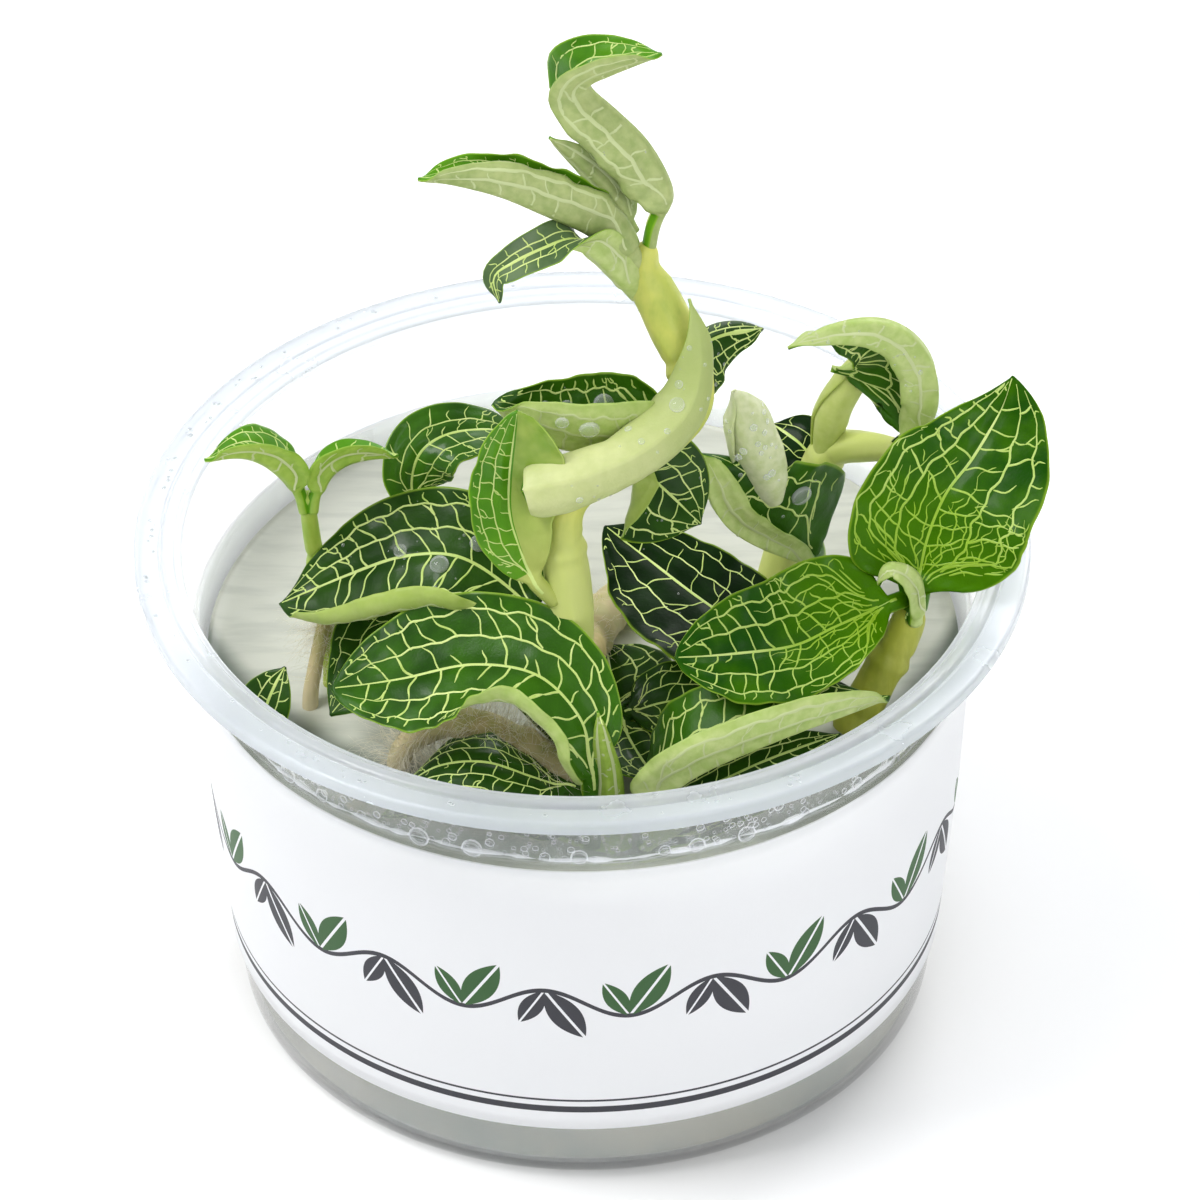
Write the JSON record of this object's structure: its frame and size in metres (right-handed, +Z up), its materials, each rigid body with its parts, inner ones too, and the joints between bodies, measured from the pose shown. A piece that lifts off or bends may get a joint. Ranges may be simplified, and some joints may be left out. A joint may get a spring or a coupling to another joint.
{
  "type": "jewel orchid",
  "caption": "Small foliage orchid with net-veined leaves, growing from nutrient gel in a clear round culture cup with a paper label band.",
  "frame": {"origin": "centre of the cup's flat underside", "axes": "+Z up, -Y towards the front of the label, +X to the right seen from the front"},
  "size_m": [0.1022, 0.1, 0.1297],
  "materials": {
    "clear_plastic": "clear moulded plastic, slightly milky, with small drops of condensation",
    "label_paper": "satin white paper with a plain printed pattern",
    "nutrient_gel": "wet translucent gel",
    "leaf_bright": "waxy leaf with pale yellow-green net veins",
    "leaf_dark": "dark waxy leaf with pale net veins",
    "leaf_pale": "pale satin underside of a leaf with faint veins",
    "stem_green": "satin juicy stem, yellow-green",
    "root_brown": "matt root with fine pale hairs"
  },
  "bodies": {
    "root": {"cup": "clear_plastic", "label": "label_paper", "gel": "nutrient_gel", "stem_main": "stem_green", "stem_sprout": "stem_green", "stem_back_left": "stem_green", "stem_right": "stem_green", "stem_back_right": "stem_green", "stem_rosette": "stem_green", "stem_small_left": "stem_green", "root_creeping": "root_brown", "root_hairy": "root_brown", "root_left": "root_brown", "bud_rolled": "leaf_pale", "bud_sheath": "leaf_pale", "leaf_sheath_pale": "leaf_pale", "leaf_front_sheath": "leaf_pale", "leaf_crown_hooked": "leaf_pale", "leaf_crown_rolled": "leaf_pale", "leaf_crown_flap": "leaf_pale", "leaf_crown_twisted": "leaf_bright", "leaf_front_left": "leaf_bright", "leaf_right_broad": "leaf_bright", "leaf_right_upright": "leaf_bright", "leaf_right_collar": "leaf_bright", "leaf_front_right": "leaf_bright", "leaf_centre_upright": "leaf_bright", "leaf_centre_trough": "leaf_bright", "leaf_back_hooked": "leaf_bright", "leaf_back_left": "leaf_bright", "sprout_leaf_left": "leaf_bright", "sprout_leaf_right": "leaf_bright", "leaf_left_broad": "leaf_dark", "leaf_behind_stem": "leaf_dark", "leaf_right_folded": "leaf_dark", "leaf_centre_pointed": "leaf_dark", "leaf_right_under": "leaf_dark", "leaf_back_small": "leaf_dark", "leaf_left_under": "leaf_dark", "leaf_front_low": "leaf_dark", "leaf_small_left": "leaf_dark", "leaf_front_under": "leaf_dark", "rosette_leaf_back": "leaf_dark", "rosette_leaf_right": "leaf_dark", "rosette_leaf_front": "leaf_dark", "leaf_back_shaded": "leaf_dark"}
  },
  "joints": []
}
